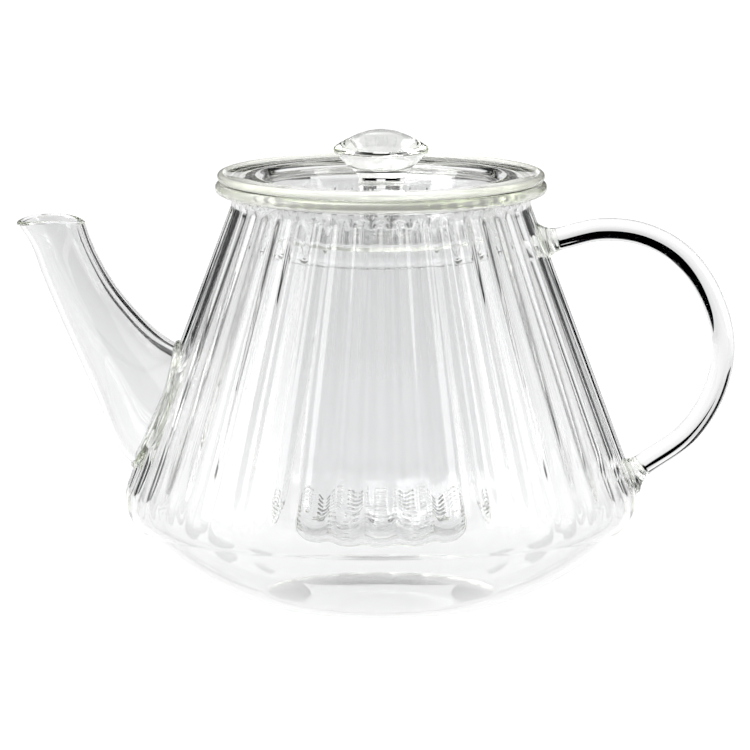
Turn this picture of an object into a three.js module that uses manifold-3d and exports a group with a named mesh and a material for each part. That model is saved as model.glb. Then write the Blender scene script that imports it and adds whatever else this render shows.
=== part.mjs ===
// A lampworked glass teapot: a ribbed body with a fused spout and handle, a lift-out infuser
// basket that hangs in its mouth, and a dished lid with a solid knob.
//
// Millimetres, +Z up. The origin is the middle of the base, on the table. The spout points
// along -X and the handle along +X.

import * as THREE from "three";
import { mergeVertices } from "three/addons/utils/BufferGeometryUtils.js";
import Module from "manifold-3d";

const wasm = await Module();
wasm.setup();

// ---------------------------------------------------------------- driving dimensions

const GAP = 0.3; // left between two pieces that touch or are fused
const WALL = 2; // blown wall of the body, the infuser and the lid

// Body: flat base, shallow bowl, rounded belly, then a straight cone up to a flared mouth.
const BASE_RADIUS = 39;
const BOWL_ARC = 93.4; // radius of the arc of the bowl
const BOWL_START = degrees(16.8); // slope where the bowl leaves the base
const BOWL_END = degrees(46.3); // slope where the bowl turns into the belly
const BELLY_ARC = 13.4;
const LEAN = degrees(20.4); // of the cone, from upright
const NECK_HEIGHT = 129;
const LIP = { radius: 52, height: 135.3, bead: 1.9 }; // rolled edge of the mouth

const RIB_COUNT = 48;
const RIB_DEPTH = 0.75;
const RIB_FOOT = [28, 46]; // heights between which the ribs grow out of the belly
const RIB_HEAD = [128, 131.5]; // and between which they run out below the lip

// Spout: an oval tube between a front and a back rail, which share their stations.
const SPOUT_WALL = 1.8;
const SPOUT_FRONT_RAIL = [
  [-73, 38.5],
  [-84.4, 48.9],
  [-93.2, 68.5],
  [-100.3, 84.3],
  [-105.6, 96.5],
  [-110.3, 108],
  [-113.4, 116.5],
  [-118.2, 124.3],
];
const SPOUT_BACK_RAIL = [
  [-56, 80],
  [-66.5, 84.2],
  [-72.6, 88.3],
  [-80.5, 96.3],
  [-86.5, 103.9],
  [-91.1, 111.6],
  [-93.9, 117.6],
  [-96.2, 124.5],
];
const SPOUT_HALF_WIDTHS = [20, 17, 14.2, 11.6, 10.2, 9.4, 9.4, 10.8];
const SPOUT_MOUTH_RISE = 1.2; // of the sides of the mouth above its front and back
const SPOUT_WELD = { thickness: 1.3, width: 2.4 };

// Handle: a round rod bent to a loop and fused to the cone at both ends.
const HANDLE_ROD = 3.7; // radius
const HANDLE_ROUTE = [
  [57.4, 118.3],
  [71.5, 121.4],
  [85.5, 119.8],
  [97.6, 113.1],
  [106.6, 100.8],
  [111.2, 84.2],
  [108.2, 68.4],
  [99.5, 54.8],
  [84.9, 44.2],
];
const HANDLE_WELDS = {
  upper: { length: 10.5, root: 7 },
  lower: { length: 10, root: 6.6 },
};

// Infuser: a flange in the pot's mouth, a flared collar and a basket slit near its foot.
const INFUSER_FLANGE = { radius: 48.9, height: 136.2, bead: 0.95 };
const COLLAR = { top: 39.4, bottom: 36.5, foot: 114.6, head: 129 };
const BASKET = { top: 35.7, bottom: 31.5, head: 113, floor: 19.2, corner: 8 };
const SLIT = { columns: 12, rows: 6, length: 9.5, height: 0.5, pitch: 1.5, lowest: 24.2 };

// Lid: a rolled edge, a flat brim and a dish that hangs inside the infuser's collar.
const LID_EDGE = { radius: 51.8, height: 138.9, bead: 1.4 };
const LID_BRIM = { under: 137.5, top: 139.4 };
const DISH = { mouth: 39.6, wallTop: 37.6, wallFoot: 31.9, floor: 120.2, corner: 4 };

// Knob: a stem with a pointed round head.
const KNOB_UNDERSIDE = [
  [7.2, 134.5],
  [7.9, 139.5],
  [11.4, 143],
  [15.2, 146.9],
];
const KNOB_TOP = [
  [15.1, 148.6],
  [10.7, 151.3],
  [5, 153.7],
  [0, 154.4],
];
const KNOB_FOOT_RADIUS = 6.6;

// ---------------------------------------------------------------- helpers

function degrees(angle) {
  return THREE.MathUtils.degToRad(angle);
}

function point(radius, height) {
  return new THREE.Vector2(radius, height);
}

// Points of an arc about (radius, height), from one angle to another, both ends included.
function arc(radius, height, size, from, to, steps) {
  const points = [];
  for (let i = 0; i <= steps; i++) {
    const angle = degrees(from + ((to - from) * i) / steps);
    points.push(point(radius + size * Math.cos(angle), height + size * Math.sin(angle)));
  }
  return points;
}

// Points of a curve that turns from one straight run into another at a corner.
function bend(start, corner, end, steps) {
  return new THREE.QuadraticBezierCurve(start, corner, end).getPoints(steps);
}

function spline(pairs, steps) {
  return new THREE.SplineCurve(pairs.map(([r, z]) => point(r, z))).getPoints(steps);
}

// A turned solid with its axis on Z, from a profile of (radius, height) points.
function turned(profile, segments) {
  return new THREE.LatheGeometry(profile, segments).rotateX(Math.PI / 2);
}

function toSolid(geometry) {
  const bare = geometry.index ? geometry.toNonIndexed() : geometry.clone();
  bare.deleteAttribute("normal");
  bare.deleteAttribute("uv");
  const merged = mergeVertices(bare, 1e-4);
  return new wasm.Manifold(
    new wasm.Mesh({
      numProp: 3,
      vertProperties: merged.attributes.position.array,
      triVerts: new Uint32Array(merged.index.array),
    }),
  );
}

function toGeometry(solid) {
  const mesh = solid.getMesh();
  const geometry = new THREE.BufferGeometry();
  geometry.setAttribute("position", new THREE.BufferAttribute(mesh.vertProperties, 3));
  geometry.setIndex(new THREE.BufferAttribute(mesh.triVerts, 1));
  geometry.computeVertexNormals();
  return geometry;
}

function glassPiece(name, geometry, colour = 0xe9eef0) {
  const material = new THREE.MeshStandardMaterial({
    color: colour,
    roughness: 0.03,
    metalness: 0,
    transparent: true,
    opacity: 0.35,
  });
  const mesh = new THREE.Mesh(geometry, material);
  mesh.name = name;
  return mesh;
}

// ---------------------------------------------------------------- body

// One step of an outline that turns from one slope to another along an arc.
function turnAlong(start, size, from, to, steps) {
  const points = [];
  for (let i = 1; i <= steps; i++) {
    const slope = from + ((to - from) * i) / steps;
    points.push(
      point(
        start.x + size * (Math.sin(slope) - Math.sin(from)),
        start.y + size * (Math.cos(from) - Math.cos(slope)),
      ),
    );
  }
  return points;
}

// The outside of the bowl, belly and cone, moved outwards by a distance (inwards if negative).
function bodyWall(outwards, top, bowlSteps, bellySteps, coneSteps) {
  const start = point(
    BASE_RADIUS + outwards * Math.sin(BOWL_START),
    -outwards * Math.cos(BOWL_START),
  );
  const bowl = turnAlong(start, BOWL_ARC + outwards, BOWL_START, BOWL_END, bowlSteps);
  const bowlTop = bowl[bowl.length - 1];
  const coneSlope = Math.PI / 2 + LEAN;
  const belly = turnAlong(bowlTop, BELLY_ARC + outwards, BOWL_END, coneSlope, bellySteps);
  const bellyTop = belly[belly.length - 1];
  const cone = [];
  for (let i = 1; i <= coneSteps; i++) {
    const rise = ((top - bellyTop.y) * i) / coneSteps;
    cone.push(point(bellyTop.x - rise * Math.tan(LEAN), bellyTop.y + rise));
  }
  return [start, ...bowl, ...belly, ...cone];
}

// How deep the valleys between the ribs are at a height on the outside.
function ribDepth(height) {
  const grown = THREE.MathUtils.smoothstep(height, ...RIB_FOOT);
  const ended = THREE.MathUtils.smoothstep(height, ...RIB_HEAD);
  return RIB_DEPTH * grown * (1 - ended);
}

function ribbedVessel() {
  const columns = 2 * RIB_COUNT; // one on each crest and one in each valley
  const outside = bodyWall(0, NECK_HEIGHT, 4, 5, 3);
  const neck = outside[outside.length - 1];
  const lip = arc(LIP.radius, LIP.height, LIP.bead, -140, 165, 6);
  const flare = bend(neck, point(47.9, 132.6), lip[0], 2).slice(1, -1);
  const inside = bodyWall(-WALL, NECK_HEIGHT, 3, 3, 1).reverse();
  const throat = bend(lip[lip.length - 1], point(46.5, 133.4), inside[0], 3).slice(1, -1);
  const outerPoints = [point(0, 0), ...outside, ...flare];
  const profile = [...outerPoints, ...lip, ...throat, ...inside, point(0, inside.at(-1).y)];
  const geometry = new THREE.LatheGeometry(profile, columns);
  const position = geometry.attributes.position;
  for (let i = 0; i < position.count; i++) {
    const onOutside = i % profile.length < outerPoints.length;
    const inValley = Math.floor(i / profile.length) % 2 === 1;
    if (!onOutside || !inValley) continue;
    const radius = Math.hypot(position.getX(i), position.getZ(i));
    if (radius === 0) continue;
    const shrink = 1 - ribDepth(position.getY(i)) / radius;
    position.setX(i, position.getX(i) * shrink);
    position.setZ(i, position.getZ(i) * shrink);
  }
  return geometry.rotateX(Math.PI / 2);
}

// The space that the body fills, grown by a distance: it trims what is fused to the body.
function bodyEnvelope(growth) {
  const outside = bodyWall(growth, NECK_HEIGHT, 4, 5, 1);
  const profile = [point(0, outside[0].y), ...outside, point(0, NECK_HEIGHT)];
  return toSolid(turned(profile, 2 * RIB_COUNT));
}

// ---------------------------------------------------------------- spout

const toCurve = (pairs) =>
  new THREE.CatmullRomCurve3(pairs.map(([x, z]) => new THREE.Vector3(x, 0, z)));

const frontRail = toCurve(SPOUT_FRONT_RAIL);
const backRail = toCurve(SPOUT_BACK_RAIL);
const widthLaw = new THREE.SplineCurve(
  SPOUT_HALF_WIDTHS.map((width, i) => point(i / (SPOUT_HALF_WIDTHS.length - 1), width)),
);

// An oval solid that fills the space between the rails, grown by a distance, from its root
// to its mouth. A length past 1 carries it straight up beyond the mouth.
function spoutFilling(growth, length = 1) {
  const rise = 40; // of each unit of length beyond the mouth
  const geometry = new THREE.CylinderGeometry(1, 1, 1, 24, 14);
  const position = geometry.attributes.position;
  for (let i = 0; i < position.count; i++) {
    const along = (position.getY(i) + 0.5) * length;
    const station = Math.min(along, 1);
    const front = frontRail.getPoint(station);
    const back = backRail.getPoint(station);
    const middle = front.clone().add(back).multiplyScalar(0.5);
    const reach = back.clone().sub(middle);
    const across = position.getX(i) * (1 + growth / reach.length());
    const side = position.getZ(i) * (widthLaw.getPoint(station).y + growth);
    const place = middle.addScaledVector(reach, across);
    const saddle = SPOUT_MOUTH_RISE * position.getZ(i) ** 2 * station ** 12;
    position.setXYZ(i, place.x, -side, place.z + saddle + (along - station) * rise);
  }
  return toSolid(geometry);
}

const spoutOutside = spoutFilling(0);
const spoutBore = spoutFilling(-SPOUT_WALL, 1.1);

function spoutTube() {
  return spoutOutside.subtract(spoutBore).subtract(bodyEnvelope(GAP));
}

// The bead of glass round the root of the spout.
function spoutWeldRing() {
  const { thickness, width } = SPOUT_WELD;
  return spoutFilling(thickness + GAP)
    .subtract(spoutFilling(GAP))
    .intersect(bodyEnvelope(GAP + width))
    .subtract(bodyEnvelope(GAP));
}

// ---------------------------------------------------------------- handle

const handleRoute = toCurve(HANDLE_ROUTE);

function handleRod() {
  const section = new THREE.Shape().absarc(0, 0, HANDLE_ROD, 0, 2 * Math.PI);
  return new THREE.ExtrudeGeometry(section, {
    extrudePath: handleRoute,
    steps: 36,
    curveSegments: 6, // on each half of the round section
  });
}

// A flared blob of glass between the end of the rod and the body.
function handleWeld({ length, root }, end) {
  const profile = [
    point(0, 0),
    point(HANDLE_ROD, 0),
    ...bend(
      point(HANDLE_ROD, 0.4 * GAP),
      point(HANDLE_ROD + 0.3, 0.3 * length),
      point(root, 0.55 * length),
      4,
    ),
    point(root, length),
    point(0, length),
  ];
  const outward = handleRoute.getTangent(end).multiplyScalar(end === 0 ? 1 : -1);
  const blob = new THREE.LatheGeometry(profile, 20);
  const turn = new THREE.Quaternion().setFromUnitVectors(
    new THREE.Vector3(0, 1, 0),
    outward.clone().negate(),
  );
  const start = handleRoute.getPoint(end).addScaledVector(outward, -GAP);
  blob.applyQuaternion(turn).translate(start.x, start.y, start.z);
  return toSolid(blob).subtract(bodyEnvelope(GAP));
}

// ---------------------------------------------------------------- infuser

// Heights in the infuser are from the table; its group stands on the table too.
function basketShell() {
  const { top, bottom, head, floor, corner } = BASKET;
  const flange = INFUSER_FLANGE;
  const outside = [
    point(0, floor),
    ...arc(bottom - corner, floor + corner, corner, -90, 0, 4),
    point(top, head),
    ...bend(
      point(top, head),
      point(top + 0.7, head + 0.3),
      point(COLLAR.bottom, COLLAR.foot),
      2,
    ).slice(1),
    ...bend(
      point(COLLAR.top, COLLAR.head),
      point(COLLAR.top + 2, flange.height - 1.3),
      point(flange.radius - 1.8, flange.height - flange.bead),
      3,
    ),
  ];
  const edge = arc(flange.radius, flange.height, flange.bead, -90, 90, 4);
  const inside = [
    ...bend(
      point(flange.radius - 3.6, flange.height + flange.bead),
      point(COLLAR.top + 0.4, flange.height + 0.5),
      point(COLLAR.top - WALL, COLLAR.head + 1),
      3,
    ),
    ...bend(
      point(COLLAR.bottom - WALL, COLLAR.foot + 0.6),
      point(top - WALL, head + 1),
      point(top - WALL, head - 0.6),
      2,
    ),
    ...arc(bottom - corner, floor + corner, corner - WALL, 0, -90, 4),
    point(0, floor + WALL),
  ];
  return toSolid(turned([...outside, ...edge, ...inside], 36));
}

function slits() {
  const reach = 2 * BASKET.corner; // long enough to cross the wall at any row
  let cut = null;
  for (let column = 0; column < SLIT.columns; column++) {
    for (let row = 0; row < SLIT.rows; row++) {
      const box = new THREE.BoxGeometry(SLIT.length, reach, SLIT.height);
      box.translate(0, BASKET.bottom, SLIT.lowest + row * SLIT.pitch);
      box.rotateZ((2 * Math.PI * column) / SLIT.columns);
      const solid = toSolid(box);
      cut = cut ? cut.add(solid) : solid;
    }
  }
  return cut;
}

// ---------------------------------------------------------------- lid

function lidPlate() {
  const { mouth, wallTop, wallFoot, floor, corner } = DISH;
  const edge = LID_EDGE;
  const under = floor - WALL;
  const outside = [
    point(0, under),
    ...arc(wallFoot + WALL - corner, under + corner, corner, -90, -20, 4),
    point(wallTop + WALL, LID_BRIM.under - 1.6),
    point(wallTop + WALL + 1.4, LID_BRIM.under),
  ];
  const rolled = arc(edge.radius, edge.height, edge.bead, -90, 160, 8);
  const inside = [
    point(mouth + 2, LID_BRIM.top),
    ...bend(
      point(mouth, LID_BRIM.top),
      point(wallTop, LID_BRIM.top),
      point(wallTop, LID_BRIM.top - 2.4),
      3,
    ),
    ...arc(wallFoot + WALL - corner, under + corner, corner - WALL, -20, -90, 3),
    point(0, floor),
  ];
  return turned([...outside, ...rolled, ...inside], 48);
}

function knob() {
  const bottom = DISH.floor + GAP;
  const profile = [
    point(0, bottom),
    point(KNOB_FOOT_RADIUS, bottom),
    ...spline(KNOB_UNDERSIDE, 7),
    ...bend(
      point(...KNOB_UNDERSIDE.at(-1)),
      point(15.6, 147.7),
      point(...KNOB_TOP[0]),
      2,
    ).slice(1, -1),
    ...spline(KNOB_TOP, 7),
  ];
  return turned(profile, 32);
}

// ---------------------------------------------------------------- assembly

const pot = new THREE.Group();
pot.add(
  glassPiece("pot_body", toGeometry(toSolid(ribbedVessel()).subtract(spoutBore))),
  glassPiece("spout", toGeometry(spoutTube())),
  glassPiece("spout_weld", toGeometry(spoutWeldRing())),
  glassPiece("handle", handleRod()),
  glassPiece("handle_upper_weld", toGeometry(handleWeld(HANDLE_WELDS.upper, 0)), 0xe9ecd9),
  glassPiece("handle_lower_weld", toGeometry(handleWeld(HANDLE_WELDS.lower, 1)), 0xe9ecd9),
);

const infuser = new THREE.Group();
infuser.add(glassPiece("infuser_basket", toGeometry(basketShell().subtract(slits()))));

const lid = new THREE.Group();
lid.add(glassPiece("lid_plate", lidPlate(), 0xe9ecd9), glassPiece("lid_knob", knob()));

const teapot = new THREE.Group();
teapot.add(pot, infuser, lid);

export default teapot;
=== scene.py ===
"""Looks of the glass teapot: every glass piece is rebuilt as a smooth closed solid.

Shapes are worked out in millimetres, with +Z up and the spout along -X, and turned into metres
when a mesh is made. Where two pieces are fused, they reach a little into each other, because a
film of air between them would shine like a mirror.
"""

import math

import bpy
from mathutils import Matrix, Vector


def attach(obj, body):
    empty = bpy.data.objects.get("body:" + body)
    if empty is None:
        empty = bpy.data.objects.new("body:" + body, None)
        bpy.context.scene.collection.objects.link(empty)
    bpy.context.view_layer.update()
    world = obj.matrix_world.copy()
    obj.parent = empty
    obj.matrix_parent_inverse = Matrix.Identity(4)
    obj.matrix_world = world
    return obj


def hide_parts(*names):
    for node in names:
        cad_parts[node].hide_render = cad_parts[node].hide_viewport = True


MM = 0.001  # metres in a millimetre

# ---------------------------------------------------------------- driving dimensions, in mm

WALL = 2.0
FACET_DEPTH = 0.06  # how far the flat faces of the CAD belly lie inside its true curve
OVERLAP = 0.3  # how far fused pieces reach into each other
ROOT_DEPTH = 1.2  # how far what is fused to the body reaches in, past the rib valleys

BASE_RADIUS = 39.0
BOWL_ARC = 93.4
BOWL_START = math.radians(16.8)
BOWL_END = math.radians(46.3)
BELLY_ARC = 13.4
LEAN = math.radians(20.4)
NECK_HEIGHT = 129.0
LIP = {"radius": 52.0, "height": 135.3, "bead": 1.9}

PUSH_UP = {"rise": 1.6, "radius": 36.0, "rings": [3 * i for i in range(12)]}

RIB_COUNT = 48
RIB_DEPTH = 0.75
RIB_FOOT = (28.0, 46.0)
RIB_HEAD = (128.0, 131.5)
RIB_SHARPNESS = 1.5  # the higher, the broader the crests and the narrower the valleys
COLUMNS_PER_RIB = 16

SPOUT_WALL = 1.8
SPOUT_FRONT_RAIL = [
    (-73, 38.5), (-84.4, 48.9), (-93.2, 68.5), (-100.3, 84.3),
    (-105.6, 96.5), (-110.3, 108), (-113.4, 116.5), (-118.2, 124.3),
]
SPOUT_BACK_RAIL = [
    (-56, 80), (-66.5, 84.2), (-72.6, 88.3), (-80.5, 96.3),
    (-86.5, 103.9), (-91.1, 111.6), (-93.9, 117.6), (-96.2, 124.5),
]
SPOUT_HALF_WIDTHS = [20, 17, 14.2, 11.6, 10.2, 9.4, 9.4, 10.8]
SPOUT_MOUTH_RISE = 1.2
SPOUT_RIM_ROUNDING = 0.9
SPOUT_BEYOND = 40  # rise of each unit of station past the mouth
SPOUT_WELD_RADIUS = 1.2

HANDLE_ROD = 3.68  # radius
HANDLE_ROUTE = [
    (57.4, 118.3), (71.5, 121.4), (85.5, 119.8), (97.6, 113.1), (106.6, 100.8),
    (111.2, 84.2), (108.2, 68.4), (99.5, 54.8), (84.9, 44.2),
]
HANDLE_WELDS = {
    "upper": {"length": 10.5, "root": 7.0},
    "lower": {"length": 10.0, "root": 6.6},
}

FLANGE = {"radius": 48.9, "height": 136.2, "bead": 0.95}
COLLAR = {"top": 39.4, "bottom": 36.5, "foot": 114.6, "head": 129.0}
BASKET = {"top": 35.7, "bottom": 31.5, "head": 113.0, "floor": 19.2, "corner": 8.0}
SLIT = {"columns": 12, "rows": 6, "length": 9.5, "height": 0.5, "pitch": 1.5, "lowest": 24.2}

LID_EDGE = {"radius": 51.8, "height": 138.9, "bead": 1.4}
LID_BRIM = {"under": 137.5, "top": 139.4}
DISH = {"mouth": 39.6, "wall_top": 37.6, "wall_foot": 31.9, "floor": 120.2, "corner": 4.0}

KNOB_UNDERSIDE = [(7.2, 134.5), (7.9, 139.5), (11.4, 143), (15.2, 146.9)]
KNOB_TOP = [(15.1, 148.6), (10.7, 151.3), (5, 153.7), (0, 154.4)]
KNOB_FOOT_RADIUS = 6.6

# ---------------------------------------------------------------- camera, made first

CAMERA = {"distance": 4.0, "height": 0.6433, "down": 8.16, "lens": 596.8}


def make_camera():
    data = bpy.data.cameras.new("camera")
    data.sensor_width = 36
    data.lens = CAMERA["lens"]
    data.shift_x = -0.008
    data.shift_y = 0.0165
    data.clip_end = 50
    camera = bpy.data.objects.new("camera", data)
    camera.location = (0, -CAMERA["distance"], CAMERA["height"])
    camera.rotation_euler = (math.radians(90 - CAMERA["down"]), 0, 0)
    bpy.context.scene.collection.objects.link(camera)
    bpy.context.scene.camera = camera


make_camera()
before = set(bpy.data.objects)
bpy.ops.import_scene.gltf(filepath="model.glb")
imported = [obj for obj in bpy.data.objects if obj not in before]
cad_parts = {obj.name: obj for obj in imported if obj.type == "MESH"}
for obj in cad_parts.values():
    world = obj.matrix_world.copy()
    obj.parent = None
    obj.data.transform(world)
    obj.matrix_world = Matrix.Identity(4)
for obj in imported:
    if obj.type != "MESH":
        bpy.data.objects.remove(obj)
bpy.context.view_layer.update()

# ---------------------------------------------------------------- curves


def arc(radius, height, size, start, end, steps):
    """Points of an arc about (radius, height), from one angle in degrees to another."""
    points = []
    for i in range(steps + 1):
        angle = math.radians(start + (end - start) * i / steps)
        points.append((radius + size * math.cos(angle), height + size * math.sin(angle)))
    return points


def bend(start, corner, end, steps):
    """Points of a curve that turns from one straight run into another at a corner."""
    points = []
    for i in range(steps + 1):
        t = i / steps
        weights = ((1 - t) ** 2, 2 * t * (1 - t), t**2)
        points.append(
            tuple(sum(w * p[k] for w, p in zip(weights, (start, corner, end))) for k in (0, 1))
        )
    return points


def hermite(a, b, slope_a, slope_b, t):
    """A cubic from a to b with the given slopes at its ends."""
    return (
        a
        + slope_a * t
        + (3 * (b - a) - 2 * slope_a - slope_b) * t**2
        + (2 * (a - b) + slope_a + slope_b) * t**3
    )


def smooth_curve(points):
    """A centripetal Catmull-Rom curve through the points, as a function of 0 to 1."""
    path = [Vector(p) for p in points]
    ends = [2 * path[0] - path[1], *path, 2 * path[-1] - path[-2]]

    def at(t):
        place = min(max(t, 0), 1) * (len(path) - 1)
        i = min(int(place), len(path) - 2)
        p0, p1, p2, p3 = ends[i : i + 4]
        d0, d1, d2 = (math.sqrt((b - a).length) for a, b in ((p0, p1), (p1, p2), (p2, p3)))
        slope_1 = ((p1 - p0) / d0 - (p2 - p0) / (d0 + d1) + (p2 - p1) / d1) * d1
        slope_2 = ((p2 - p1) / d1 - (p3 - p1) / (d1 + d2) + (p3 - p2) / d2) * d1
        return hermite(p1, p2, slope_1, slope_2, place - i)

    return at


def value_curve(values):
    """A uniform Catmull-Rom curve through single values, as a function of 0 to 1."""

    def at(t):
        place = min(max(t, 0), 1) * (len(values) - 1)
        i = min(int(place), len(values) - 2)
        before = values[max(i - 1, 0)]
        after = values[min(i + 2, len(values) - 1)]
        slope_1 = (values[i + 1] - before) / 2
        slope_2 = (after - values[i]) / 2
        return hermite(values[i], values[i + 1], slope_1, slope_2, place - i)

    return at


def spline(points, steps):
    """Points of a smooth outline through a few (radius, height) points."""
    radius = value_curve([p[0] for p in points])
    height = value_curve([p[1] for p in points])
    return [(radius(i / steps), height(i / steps)) for i in range(steps + 1)]


def straight(start, end, steps):
    """Points between two ends, with the last end and without the first."""
    return [
        tuple(a + (b - a) * i / steps for a, b in zip(start, end)) for i in range(1, steps + 1)
    ]


def smoothstep(value, low, high):
    t = min(max((value - low) / (high - low), 0), 1)
    return t * t * (3 - 2 * t)


# ---------------------------------------------------------------- meshes


def solid(name, points, faces):
    """A smooth-shaded mesh object from points in millimetres."""
    mesh = bpy.data.meshes.new(name)
    mesh.from_pydata([tuple(c * MM for c in p) for p in points], [], faces)
    mesh.shade_smooth()
    mesh.update()
    made = bpy.data.objects.new(name, mesh)
    bpy.context.scene.collection.objects.link(made)
    return made


def band(first, second, count):
    """Faces between two rings of points, which start at the given indices."""
    return [
        (first + i, first + (i + 1) % count, second + (i + 1) % count, second + i)
        for i in range(count)
    ]


def turned(name, profile, segments, radius_at=None):
    """A solid of revolution about Z. The profile runs from the axis, outside first, to the axis."""
    points = [(0, 0, profile[0][1])]
    faces = []
    inner = profile[1:-1]
    for k, (radius, height) in enumerate(inner):
        for i in range(segments):
            angle = 2 * math.pi * i / segments
            r = radius_at(k, radius, height, angle) if radius_at else radius
            points.append((r * math.cos(angle), r * math.sin(angle), height))
    points.append((0, 0, profile[-1][1]))
    first = 1
    last = 1 + (len(inner) - 1) * segments
    faces += [(0, first + (i + 1) % segments, first + i) for i in range(segments)]
    for k in range(len(inner) - 1):
        faces += band(1 + k * segments, 1 + (k + 1) * segments, segments)
    end = len(points) - 1
    faces += [(end, last + i, last + (i + 1) % segments) for i in range(segments)]
    return solid(name, points, faces)


def swept(name, rings, joined=False):
    """A solid through rings of points. Its ends are capped, or joined to each other."""
    count = len(rings[0])
    points = [p for ring in rings for p in ring]
    faces = []
    for k in range(len(rings) - 1):
        faces += band(k * count, (k + 1) * count, count)
    last = (len(rings) - 1) * count
    if joined:
        faces += band(last, 0, count)
    else:
        faces.append(tuple(reversed(range(count))))
        faces.append(tuple(range(last, last + count)))
    return solid(name, points, faces)


def turn_outwards(piece):
    """Turns every face of a closed mesh outwards."""
    mesh = piece.data
    volume = 0
    for polygon in mesh.polygons:
        corners = [mesh.vertices[v].co for v in polygon.vertices]
        for b, c in zip(corners[1:], corners[2:]):
            volume += corners[0].dot(b.cross(c))
    if volume < 0:
        mesh.flip_normals()


def cut(piece, cutter, operation="DIFFERENCE"):
    """Cuts one closed solid with another, and deletes the cutter."""
    turn_outwards(piece)
    turn_outwards(cutter)
    modifier = piece.modifiers.new("cut", "BOOLEAN")
    modifier.operation = operation
    modifier.solver = "MANIFOLD"
    modifier.object = cutter
    depsgraph = bpy.context.evaluated_depsgraph_get()
    mesh = bpy.data.meshes.new_from_object(piece.evaluated_get(depsgraph))
    piece.modifiers.clear()
    old = piece.data
    piece.data = mesh
    mesh.name = piece.name
    bpy.data.meshes.remove(old)
    bpy.data.objects.remove(cutter)
    mesh.shade_smooth()
    mesh.set_sharp_from_angle(angle=math.radians(35))


# ---------------------------------------------------------------- body


def turn_along(start, size, first, last, steps):
    """Points of an outline that turns from one slope to another along an arc."""
    points = []
    for i in range(1, steps + 1):
        slope = first + (last - first) * i / steps
        points.append(
            (
                start[0] + size * (math.sin(slope) - math.sin(first)),
                start[1] + size * (math.cos(first) - math.cos(slope)),
            )
        )
    return points


def body_wall(outwards, top, bowl_steps=40, belly_steps=28, cone_steps=90):
    """The outside of the bowl, belly and cone, moved outwards (inwards if negative)."""
    start = (
        BASE_RADIUS + outwards * math.sin(BOWL_START),
        -outwards * math.cos(BOWL_START),
    )
    bowl = turn_along(start, BOWL_ARC + outwards, BOWL_START, BOWL_END, bowl_steps)
    belly = turn_along(
        bowl[-1], BELLY_ARC + outwards, BOWL_END, math.pi / 2 + LEAN, belly_steps
    )
    rise = top - belly[-1][1]
    cone_top = (belly[-1][0] - rise * math.tan(LEAN), top)
    return [start, *bowl, *belly, *straight(belly[-1], cone_top, cone_steps)]


def rib_depth(height):
    """How deep the valleys between the ribs are."""
    return RIB_DEPTH * smoothstep(height, *RIB_FOOT) * (1 - smoothstep(height, *RIB_HEAD))


def push_up(radius):
    """How far the middle of the base is pushed up."""
    return PUSH_UP["rise"] * (1 - smoothstep(radius, 0, PUSH_UP["radius"]))


def make_body():
    outside = body_wall(-FACET_DEPTH, NECK_HEIGHT)
    lip = arc(LIP["radius"], LIP["height"], LIP["bead"], -140, 165, 20)
    flare = bend(outside[-1], (47.9, 132.6), lip[0], 12)[1:-1]
    inside = list(reversed(body_wall(-WALL, NECK_HEIGHT)))
    throat = bend(lip[-1], (46.5, 133.4), inside[0], 12)[1:-1]
    foot = bend((BASE_RADIUS - 2, 0), outside[0], outside[1], 4)
    outer = [*foot[:-1], *outside[1:], *flare]
    floor = inside[-1][1]
    under = [(r, push_up(r)) for r in PUSH_UP["rings"]]
    over = [(r, floor + push_up(r)) for r in reversed(PUSH_UP["rings"])]
    outer = [*under[1:], *outer]
    profile = [under[0], *outer, *lip, *throat, *inside, *over]

    def ribbed(k, radius, height, angle):
        if k >= len(outer):
            return radius
        across = angle * RIB_COUNT / (2 * math.pi)
        off_crest = 2 * abs(across - round(across))  # 0 on a crest, 1 in a valley
        dip = (1 - math.cos(math.pi * off_crest)) / 2
        return radius - rib_depth(height) * dip**RIB_SHARPNESS

    body = turned("pot_body_glass", profile, RIB_COUNT * COLUMNS_PER_RIB, ribbed)
    cut(body, spout_filling("spout_bore", -SPOUT_WALL, 1.1))
    return body


def body_envelope(growth):
    """A solid of the space the body fills, grown by a distance: it trims what is fused to it."""
    outside = body_wall(growth, NECK_HEIGHT)
    profile = [(0, outside[0][1]), *outside, (0, NECK_HEIGHT)]
    return turned("envelope", profile, RIB_COUNT * 4)


# ---------------------------------------------------------------- spout

front_rail = smooth_curve([(x, 0, z) for x, z in SPOUT_FRONT_RAIL])
back_rail = smooth_curve([(x, 0, z) for x, z in SPOUT_BACK_RAIL])
half_width = value_curve(SPOUT_HALF_WIDTHS)
SPOUT_SEGMENTS = 96


def spout_point(along, growth, angle, lift=0):
    """A point on the spout, at a station from 0 at the root to 1 at the mouth, and past it."""
    station = min(along, 1)
    front = front_rail(station)
    back = back_rail(station)
    middle = (front + back) / 2
    reach = back - middle
    place = middle + reach * math.cos(angle) * (1 + growth / reach.length)
    side = math.sin(angle)
    saddle = SPOUT_MOUTH_RISE * side**2 * station**12
    above = saddle + (along - station) * SPOUT_BEYOND + lift
    return (place.x, side * (half_width(station) + growth), place.z + above)


def spout_ring(along, growth, lift=0):
    angles = (2 * math.pi * i / SPOUT_SEGMENTS for i in range(SPOUT_SEGMENTS))
    return [spout_point(along, growth, angle, lift) for angle in angles]


def spout_filling(name, growth, length):
    steps = 90
    return swept(name, [spout_ring(length * i / steps, growth) for i in range(steps + 1)])


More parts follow.
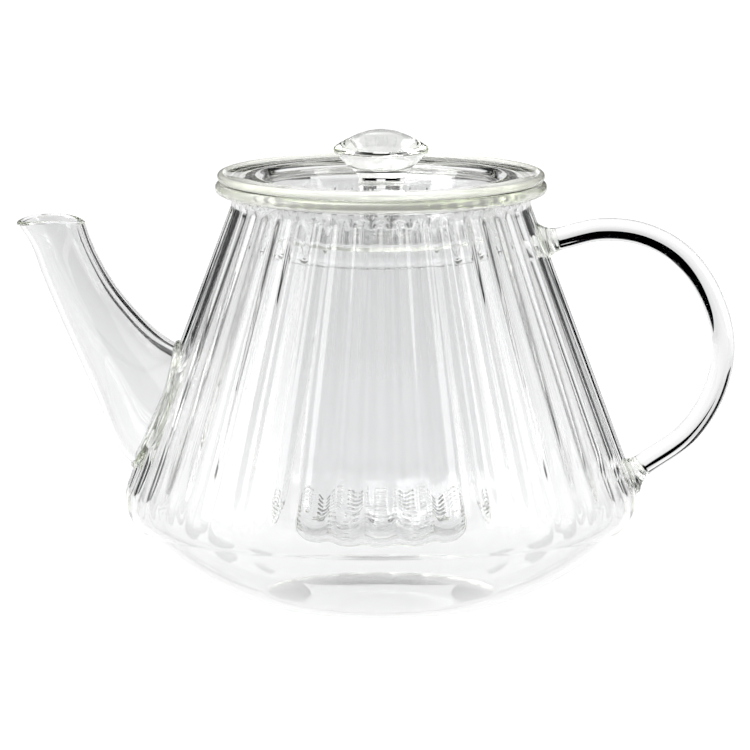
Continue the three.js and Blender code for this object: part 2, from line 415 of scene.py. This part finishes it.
def make_spout():
    steps = 90
    rim_steps = 10
    outer = [spout_ring(i / steps, 0) for i in range(steps)]
    rim = []
    for i in range(rim_steps + 1):
        angle = math.pi * i / rim_steps
        growth = -SPOUT_WALL * (1 - math.cos(angle)) / 2
        lift = SPOUT_RIM_ROUNDING * (math.sin(angle) - 1)
        rim.append(spout_ring(1, growth, lift))
    inner = [spout_ring(i / steps, -SPOUT_WALL) for i in reversed(range(steps))]
    spout = swept("spout_glass", [*outer, *rim, *inner], joined=True)
    cut(spout, body_envelope(-ROOT_DEPTH))
    return spout


BODY_OUTSIDE = body_wall(0, NECK_HEIGHT)


def outside_radius(height):
    """The body's radius on its rib crests, at a height."""
    for (r1, z1), (r2, z2) in zip(BODY_OUTSIDE, BODY_OUTSIDE[1:]):
        if z1 <= height <= z2:
            return r1 + (r2 - r1) * (height - z1) / (z2 - z1)
    return BODY_OUTSIDE[-1][0]


def spout_root_line():
    """Where the outside of the spout meets the rib crests, all the way round."""
    line = []
    for i in range(SPOUT_SEGMENTS):
        angle = 2 * math.pi * i / SPOUT_SEGMENTS
        low, high = 0.0, 0.6
        for _ in range(24):
            middle = (low + high) / 2
            x, y, z = spout_point(middle, 0, angle)
            if math.hypot(x, y) < outside_radius(z):
                low = middle
            else:
                high = middle
        line.append(Vector(spout_point(low, 0, angle)))
    return line


def tube_along(name, line, radius, segments, joined):
    """A round tube along a line of points, with its seam kept towards +Z."""
    rings = []
    count = len(line)
    for i, place in enumerate(line):
        ahead = line[(i + 1) % count] if joined else line[min(i + 1, count - 1)]
        behind = line[i - 1] if joined else line[max(i - 1, 0)]
        along = (ahead - behind).normalized()
        out = Vector((place.x, place.y, 0)).normalized()
        side = along.cross(out).normalized()
        up = side.cross(along)
        size = radius(i / count) if callable(radius) else radius
        rings.append(
            [
                place + size * (math.cos(a) * side + math.sin(a) * up)
                for a in (2 * math.pi * k / segments for k in range(segments))
            ]
        )
    return swept(name, rings, joined)


def make_spout_weld():
    def lumpy(t):
        return SPOUT_WELD_RADIUS * (1 + 0.12 * math.sin(14 * math.pi * t + 0.6))

    return tube_along("spout_weld_glass", spout_root_line(), lumpy, 20, joined=True)


# ---------------------------------------------------------------- handle

handle_route = smooth_curve([(x, 0, z) for x, z in HANDLE_ROUTE])


def make_handle():
    steps = 260
    segments = 64
    rings = []
    across = Vector((0, 1, 0))
    for i in range(steps + 1):
        t = i / steps
        along = (handle_route(t + 0.001) - handle_route(t - 0.001)).normalized()
        outwards = across.cross(along)
        place = handle_route(t)
        rings.append(
            [
                place + HANDLE_ROD * (math.cos(a) * across + math.sin(a) * outwards)
                for a in (2 * math.pi * k / segments for k in range(segments))
            ]
        )
    return swept("handle_glass", rings)


def make_handle_weld(name, size, end):
    """A flared blob of glass between the end of the rod and the body."""
    length, root = size["length"], size["root"]
    rod = HANDLE_ROD + 0.1
    profile = [
        (0, -OVERLAP),
        *bend((HANDLE_ROD - 1.5, -OVERLAP), (rod, -OVERLAP), (rod, 0.4), 5),
        *bend((rod, 0.5), (HANDLE_ROD + 0.4, 0.3 * length), (root, 0.55 * length), 14),
        *straight((root, 0.55 * length), (root, length), 3),
        (0, length),
    ]
    blob = turned(name, profile, 64)
    direction = handle_route(end + 0.002) - handle_route(end - 0.002)
    if end == 0:
        direction = -direction
    direction.normalize()
    turn = Vector((0, 0, 1)).rotation_difference(direction)
    place = handle_route(end)
    for vertex in blob.data.vertices:
        vertex.co = turn @ vertex.co + place * MM
    cut(blob, body_envelope(-ROOT_DEPTH))
    return blob


# ---------------------------------------------------------------- infuser


def basket_profile():
    top, bottom, head = BASKET["top"], BASKET["bottom"], BASKET["head"]
    floor, corner = BASKET["floor"], BASKET["corner"]
    radius, height, bead = FLANGE["radius"], FLANGE["height"], FLANGE["bead"]
    outside = [
        (0, floor),
        *straight((0, floor), (bottom - corner, floor), 6)[:-1],
        *arc(bottom - corner, floor + corner, corner, -90, 0, 16),
        *straight((bottom, floor + corner), (top, head), 40)[:-1],
        *bend((top, head), (top + 0.7, head + 0.3), (COLLAR["bottom"], COLLAR["foot"]), 8),
        *straight((COLLAR["bottom"], COLLAR["foot"]), (COLLAR["top"], COLLAR["head"]), 8)[:-1],
        *bend(
            (COLLAR["top"], COLLAR["head"]),
            (COLLAR["top"] + 2, height - 1.3),
            (radius - 1.8, height - bead),
            14,
        ),
    ]
    edge = arc(radius, height, bead, -90, 90, 12)
    inside = [
        *bend(
            (radius - 3.6, height + bead),
            (COLLAR["top"] + 0.4, height + 0.5),
            (COLLAR["top"] - WALL, COLLAR["head"] + 1),
            14,
        ),
        *straight(
            (COLLAR["top"] - WALL, COLLAR["head"] + 1),
            (COLLAR["bottom"] - WALL, COLLAR["foot"] + 0.6),
            8,
        )[:-1],
        *bend(
            (COLLAR["bottom"] - WALL, COLLAR["foot"] + 0.6),
            (top - WALL, head + 1),
            (top - WALL, head - 0.6),
            8,
        ),
        *straight((top - WALL, head - 0.6), (bottom - WALL, floor + corner), 40)[:-1],
        *arc(bottom - corner, floor + corner, corner - WALL, 0, -90, 16),
        (0, floor + WALL),
    ]
    return [*outside, *edge, *inside]


def slit_cutters():
    """One mesh of all the slits: rounded bars that cross the wall near its foot."""
    points = []
    faces = []
    reach = BASKET["corner"] - 1
    end_steps = 6
    half_height = SLIT["height"] / 2
    half_length = SLIT["length"] / 2 - half_height
    outline = [
        *arc(half_length, 0, half_height, -90, 90, end_steps),
        *arc(-half_length, 0, half_height, 90, 270, end_steps),
    ]
    count = len(outline)
    for column in range(SLIT["columns"]):
        angle = 2 * math.pi * column / SLIT["columns"] - math.pi / 2
        out = Vector((math.cos(angle), math.sin(angle), 0))
        side = Vector((-math.sin(angle), math.cos(angle), 0))
        for row in range(SLIT["rows"]):
            height = SLIT["lowest"] + row * SLIT["pitch"]
            start = len(points)
            for depth in (BASKET["bottom"] - reach, BASKET["bottom"] + reach):
                for across, up in outline:
                    points.append(out * depth + side * across + Vector((0, 0, height + up)))
            faces += band(start, start + count, count)
            faces.append(tuple(reversed(range(start, start + count))))
            faces.append(tuple(range(start + count, start + 2 * count)))
    return solid("slits", points, faces)


def make_infuser():
    basket = turned("infuser_glass", basket_profile(), 288)
    cut(basket, slit_cutters())
    return basket


# ---------------------------------------------------------------- lid


def make_lid():
    mouth, wall_top, wall_foot = DISH["mouth"], DISH["wall_top"], DISH["wall_foot"]
    floor, corner = DISH["floor"], DISH["corner"]
    under = floor - WALL
    outer_foot = arc(wall_foot + WALL - corner, under + corner, corner, -90, -20, 10)
    inner_foot = arc(wall_foot + WALL - corner, under + corner, corner - WALL, -20, -90, 10)
    neck = (wall_top + WALL, LID_BRIM["under"] - 1.6)
    edge = arc(LID_EDGE["radius"], LID_EDGE["height"], LID_EDGE["bead"], -90, 160, 18)
    profile = [
        (0, under),
        *outer_foot,
        *straight(outer_foot[-1], neck, 14),
        *bend(neck, (neck[0], LID_BRIM["under"]), (neck[0] + 2.4, LID_BRIM["under"]), 6)[1:],
        *edge,
        *bend(
            (mouth + 2, LID_BRIM["top"]),
            (wall_top, LID_BRIM["top"]),
            (wall_top, LID_BRIM["top"] - 3.4),
            12,
        ),
        *straight((wall_top, LID_BRIM["top"] - 3.4), inner_foot[0], 14)[:-1],
        *inner_foot,
        (0, floor),
    ]
    return turned("lid_glass", profile, 256)


def make_knob():
    bottom = DISH["floor"] - OVERLAP
    profile = [
        (0, bottom),
        (KNOB_FOOT_RADIUS, bottom),
        (KNOB_FOOT_RADIUS, bottom + 2 * OVERLAP),
        *spline(KNOB_UNDERSIDE, 28),
        *bend(KNOB_UNDERSIDE[-1], (15.6, 147.7), KNOB_TOP[0], 8)[1:-1],
        *spline(KNOB_TOP, 28),
    ]
    return turned("lid_knob_glass", profile, 160)


# ---------------------------------------------------------------- glass


def painted_rim_light_mask(tree, place, rim):
    """A factor that is 1 above the neck and past a distance from the axis, and 0 elsewhere: it
    marks where the rims get their painted light.
    """
    flat = tree.nodes.new("ShaderNodeVectorMath")
    flat.operation = "MULTIPLY"
    flat.inputs[1].default_value = (1, 1, 0)
    tree.links.new(place.outputs["Object"], flat.inputs[0])
    length = tree.nodes.new("ShaderNodeVectorMath")
    length.operation = "LENGTH"
    tree.links.new(flat.outputs[0], length.inputs[0])
    edge = tree.nodes.new("ShaderNodeMapRange")
    edge.interpolation_type = "SMOOTHSTEP"
    edge.inputs["From Min"].default_value = rim[0] * MM
    edge.inputs["From Max"].default_value = rim[1] * MM
    tree.links.new(length.outputs["Value"], edge.inputs["Value"])

    height = tree.nodes.new("ShaderNodeSeparateXYZ")
    tree.links.new(place.outputs["Object"], height.inputs[0])
    above = tree.nodes.new("ShaderNodeMath")
    above.operation = "GREATER_THAN"
    above.inputs[1].default_value = NECK_HEIGHT * MM
    tree.links.new(height.outputs["Z"], above.inputs[0])

    painted_light_mask = tree.nodes.new("ShaderNodeMath")
    painted_light_mask.operation = "MULTIPLY"
    tree.links.new(edge.outputs["Result"], painted_light_mask.inputs[0])
    tree.links.new(above.outputs[0], painted_light_mask.inputs[1])
    return painted_light_mask.outputs[0]


def glass(name, tint, deep_tint, roughness, ripple, ripple_size, rim=None):
    """Clear glass with a faint drift of colour, a faint haze and a fire-polished ripple.

    The ripple is in micrometres, and its size across in millimetres. A rim gives the distances
    from the axis, in millimetres, between which the glass turns into a milky yellow-green edge.
    The yellow-green is the rim's tint. The milky share, where a third of the glass is not clear,
    is painted light, which brightens rims that clear glass leaves too dark.
    """
    material = bpy.data.materials.new(name)
    material.use_nodes = True
    tree = material.node_tree
    shader = tree.nodes["Principled BSDF"]
    shader.inputs["Transmission Weight"].default_value = 1
    shader.inputs["IOR"].default_value = 1.47

    place = tree.nodes.new("ShaderNodeTexCoord")

    def cloud(scale, detail):
        made = tree.nodes.new("ShaderNodeTexNoise")
        made.inputs["Scale"].default_value = scale
        made.inputs["Detail"].default_value = detail
        tree.links.new(place.outputs["Object"], made.inputs["Vector"])
        return made.outputs["Fac"]

    def blend(kind, factor, low, high):
        made = tree.nodes.new("ShaderNodeMix")
        made.data_type = kind
        sockets = [s for s in made.inputs if s.type == ("RGBA" if kind == "RGBA" else "VALUE")]
        first, second = sockets[-2:]
        for socket, value in ((first, low), (second, high)):
            if hasattr(value, "is_output"):
                tree.links.new(value, socket)
            else:
                socket.default_value = value
        tree.links.new(factor, made.inputs["Factor"])
        return [s for s in made.outputs if s.type == first.type][0]

    colour = blend("RGBA", cloud(35, 2), (*tint, 1), (*deep_tint, 1))

    haze = tree.nodes.new("ShaderNodeMapRange")
    haze.inputs["From Min"].default_value = 0.35
    haze.inputs["From Max"].default_value = 0.75
    haze.inputs["To Min"].default_value = 0
    haze.inputs["To Max"].default_value = roughness
    tree.links.new(cloud(120, 3), haze.inputs["Value"])
    haze = haze.outputs["Result"]
    # Painted light: past the rim distances a third of the glass is made milky, not clear, to
    # brighten rims that clear glass leaves too dark.
    if rim:
        painted_light_mask = painted_rim_light_mask(tree, place, rim)
        colour = blend("RGBA", painted_light_mask, colour, (*RIM_TINT_AND_PAINTED_LIGHT, 1))
        haze = blend("FLOAT", painted_light_mask, haze, RIM_HAZE)
        clearness_under_painted_light = blend("FLOAT", painted_light_mask, 1, PAINTED_RIM_LIGHT_CLEARNESS)
        tree.links.new(clearness_under_painted_light, shader.inputs["Transmission Weight"])
    tree.links.new(colour, shader.inputs["Base Color"])
    tree.links.new(haze, shader.inputs["Roughness"])

    depth = tree.nodes.new("ShaderNodeVolumeAbsorption")
    depth.inputs["Color"].default_value = (*VOLUME_COLOUR, 1)
    depth.inputs["Density"].default_value = VOLUME_DENSITY
    tree.links.new(depth.outputs[0], tree.nodes["Material Output"].inputs["Volume"])

    bump = tree.nodes.new("ShaderNodeBump")
    bump.inputs["Strength"].default_value = 1
    bump.inputs["Distance"].default_value = ripple * 1e-6
    tree.links.new(cloud(1 / (ripple_size * MM), 1), bump.inputs["Height"])
    tree.links.new(bump.outputs["Normal"], shader.inputs["Normal"])
    return material


# Glass takes VOLUME_DENSITY * (1 - VOLUME_COLOUR) of the light in each metre.
VOLUME_COLOUR = (0.55, 0.75, 0.1)
VOLUME_DENSITY = 1.5
CLEAR = (0.945, 0.945, 0.95)
PALE = (0.93, 0.932, 0.935)
WATER_CLEAR = (0.99, 0.99, 0.985)
GREENISH = (0.93, 0.94, 0.89)

# The rims' painted light: a milky share over the rim's own yellow-green tint, which brightens them.
RIM_TINT_AND_PAINTED_LIGHT = (0.985, 0.99, 0.93)
RIM_HAZE = 0.02
PAINTED_RIM_LIGHT_CLEARNESS = 0.66  # share of the light that goes through the rim; the rest is a milky share of painted light

# The body's and the lid's rims carry painted light: a milky share that brightens them.
wall_glass = glass("clear_glass", CLEAR, PALE, 0.01, 10, 10, rim=(49, 51.5))
weld_glass = glass("weld_glass", PALE, GREENISH, 0.04, 60, 3)
rod_glass = glass("rod_glass", CLEAR, PALE, 0.015, 12, 12)
infuser_glass = glass("infuser_glass", CLEAR, PALE, 0.02, 25, 8)
lid_glass = glass("lid_glass", WATER_CLEAR, CLEAR, 0.02, 35, 8, rim=(49.5, 51.5))
knob_glass = glass("knob_glass", WATER_CLEAR, CLEAR, 0.015, 12, 8)


def place_piece(piece, material, body, node):
    turn_outwards(piece)
    piece.data.materials.clear()
    piece.data.materials.append(material)
    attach(piece, body)
    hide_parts(node)


place_piece(make_body(), wall_glass, "pot", "pot_body")
place_piece(make_spout(), wall_glass, "pot", "spout")
place_piece(make_spout_weld(), weld_glass, "pot", "spout_weld")
place_piece(make_handle(), rod_glass, "pot", "handle")
place_piece(
    make_handle_weld("handle_upper_weld_glass", HANDLE_WELDS["upper"], 0),
    weld_glass, "pot", "handle_upper_weld",
)
place_piece(
    make_handle_weld("handle_lower_weld_glass", HANDLE_WELDS["lower"], 1),
    weld_glass, "pot", "handle_lower_weld",
)
place_piece(make_infuser(), infuser_glass, "infuser", "infuser_basket")
place_piece(make_lid(), lid_glass, "lid", "lid_plate")
place_piece(make_knob(), knob_glass, "lid", "lid_knob")

# ---------------------------------------------------------------- studio


TABLE_LIGHT = {"near": (0.15, 1.0), "far": (0.95, 0.72)}  # distance in metres, brightness
PALE_WALL = (1.0, 1.0, 1.0)
# The dark wall's edges fade between these parts of a unit direction: x to its sides, z to its top.
DARK_WALL = {"left": (-0.74, -0.64), "right": (0.58, 0.72), "top": (0.5, 0.56)}
CARD = {"behind": 0.3, "half_width": 0.036, "heights": (0.03, 0.2)}
CARD_GLOW = [(0.03, 0.874), (0.093, 0.72), (0.112, 0.72), (0.126, 1.0)]  # height, brightness


def lit_table():
    """A white table top under even light, which falls off towards its far end.

    Seen directly it is plain white, as a print with its background cleaned up shows it.
    """
    material = bpy.data.materials.new("lit_table")
    material.use_nodes = True
    tree = material.node_tree
    shader = tree.nodes["Principled BSDF"]
    shader.inputs["Base Color"].default_value = (0.04, 0.04, 0.04, 1)
    shader.inputs["Roughness"].default_value = 0.9
    shader.inputs["Emission Color"].default_value = (1, 1, 1, 1)
    place = tree.nodes.new("ShaderNodeTexCoord")
    parts = tree.nodes.new("ShaderNodeSeparateXYZ")
    tree.links.new(place.outputs["Object"], parts.inputs[0])
    fall = tree.nodes.new("ShaderNodeMapRange")
    fall.inputs["From Min"].default_value = TABLE_LIGHT["near"][0]
    fall.inputs["From Max"].default_value = TABLE_LIGHT["far"][0]
    fall.inputs["To Min"].default_value = TABLE_LIGHT["near"][1]
    fall.inputs["To Max"].default_value = TABLE_LIGHT["far"][1]
    tree.links.new(parts.outputs["Y"], fall.inputs["Value"])
    path = tree.nodes.new("ShaderNodeLightPath")
    seen = tree.nodes.new("ShaderNodeMix")
    seen.inputs["B"].default_value = 1
    tree.links.new(path.outputs["Is Camera Ray"], seen.inputs["Factor"])
    tree.links.new(fall.outputs["Result"], seen.inputs["A"])
    tree.links.new(seen.outputs["Result"], shader.inputs["Emission Strength"])
    return material


def sheet(name, corners, material):
    mesh = bpy.data.meshes.new(name)
    mesh.from_pydata(corners, [], [(0, 1, 2, 3)])
    mesh.materials.append(material)
    made = bpy.data.objects.new(name, mesh)
    bpy.context.scene.collection.objects.link(made)
    return made


def soft_box(name, place, target, width, height, power):
    data = bpy.data.lights.new(name, "AREA")
    data.shape = "RECTANGLE"
    data.size = width
    data.size_y = height
    data.energy = power
    light = bpy.data.objects.new(name, data)
    light.location = place
    light.rotation_euler = (Vector(target) - Vector(place)).to_track_quat("-Z", "Y").to_euler()
    bpy.context.scene.collection.objects.link(light)


def make_room():
    """A pale room with a dark wall behind the table and one before it, with soft edges."""
    world = bpy.data.worlds.new("room")
    world.use_nodes = True
    tree = world.node_tree
    place = tree.nodes.new("ShaderNodeTexCoord")
    parts = tree.nodes.new("ShaderNodeSeparateXYZ")
    tree.links.new(place.outputs["Generated"], parts.inputs[0])

    def step(value, low, high):
        made = tree.nodes.new("ShaderNodeMapRange")
        made.interpolation_type = "SMOOTHSTEP"
        made.inputs["From Min"].default_value = low
        made.inputs["From Max"].default_value = high
        tree.links.new(value, made.inputs["Value"])
        return made.outputs["Result"]

    def times(a, b):
        made = tree.nodes.new("ShaderNodeMath")
        made.operation = "MULTIPLY"
        tree.links.new(a, made.inputs[0])
        tree.links.new(b, made.inputs[1])
        return made.outputs[0]

    x, y, z = (parts.outputs[axis] for axis in "XYZ")
    across = times(step(x, *DARK_WALL["left"]), step(x, *reversed(DARK_WALL["right"])))
    ahead = times(step(times(y, y), 0, 0.01), step(z, *reversed(DARK_WALL["top"])))
    mix = tree.nodes.new("ShaderNodeMix")
    mix.data_type = "RGBA"
    pale, dark = (socket for socket in mix.inputs if socket.type == "RGBA")
    pale.default_value = (*PALE_WALL, 1)
    dark.default_value = (0.004, 0.004, 0.005, 1)
    tree.links.new(times(across, ahead), mix.inputs["Factor"])
    colour = next(o for o in mix.outputs if o.type == "RGBA")
    tree.links.new(colour, tree.nodes["Background"].inputs["Color"])
    return world


def pale_card():
    """A glowing card on edge behind the pot, out of the picture: it lights the dish and bowl.

    Up to the height of the lid it is as bright as the table that it hides.
    """
    material = bpy.data.materials.new("pale_card")
    material.use_nodes = True
    shader = material.node_tree.nodes["Principled BSDF"]
    shader.inputs["Base Color"].default_value = (0.04, 0.04, 0.04, 1)
    shader.inputs["Emission Color"].default_value = (1, 1, 1, 1)
    tree = material.node_tree
    place = tree.nodes.new("ShaderNodeTexCoord")
    parts = tree.nodes.new("ShaderNodeSeparateXYZ")
    tree.links.new(place.outputs["Object"], parts.inputs[0])
    ramp = tree.nodes.new("ShaderNodeValToRGB")
    stops = ramp.color_ramp.elements
    while len(stops) < len(CARD_GLOW):
        stops.new(0.5)
    for stop, (height, glow) in zip(stops, CARD_GLOW):
        stop.position = height
        stop.color = (glow, glow, glow, 1)
    tree.links.new(parts.outputs["Z"], ramp.inputs["Fac"])
    tree.links.new(ramp.outputs["Color"], shader.inputs["Emission Strength"])
    half, behind = CARD["half_width"], CARD["behind"]
    low, high = CARD["heights"]
    corners = [
        (-half, behind, low),
        (half, behind, low),
        (half, behind, high),
        (-half, behind, high),
    ]
    card = sheet("pale_card", corners, material)
    card.visible_camera = False


def make_studio():
    under = -0.0004
    sheet(
        "floor",
        [(-3, -3, under), (3, -3, under), (3, 2.3, under), (-3, 2.3, under)],
        lit_table(),
    )
    pale_card()
    middle = (0, 0, 0.07)
    soft_box("overhead", (-0.5, -0.3, 1.6), middle, 1.2, 1.2, 25)
    soft_box("left_box", (-1.8, -0.6, 0.7), middle, 0.8, 1.2, 12)
    soft_box("right_box", (1.8, -0.9, 0.6), middle, 0.6, 1.2, 8)
    bpy.context.scene.world = make_room()


BLACK_LEVEL = 0.05  # brightness that is printed as black


def set_quality():
    scene = bpy.context.scene
    view = scene.view_settings
    view.view_transform = "Standard"
    view.use_curve_mapping = True
    view.curve_mapping.black_level = (BLACK_LEVEL,) * 3
    view.curve_mapping.update()
    scene.cycles.use_denoising = True
    scene.cycles.max_bounces = 64
    scene.cycles.transmission_bounces = 64
    scene.cycles.glossy_bounces = 64
    scene.cycles.transparent_max_bounces = 32
    scene.cycles.caustics_reflective = False
    scene.cycles.caustics_refractive = True


make_studio()
set_quality()
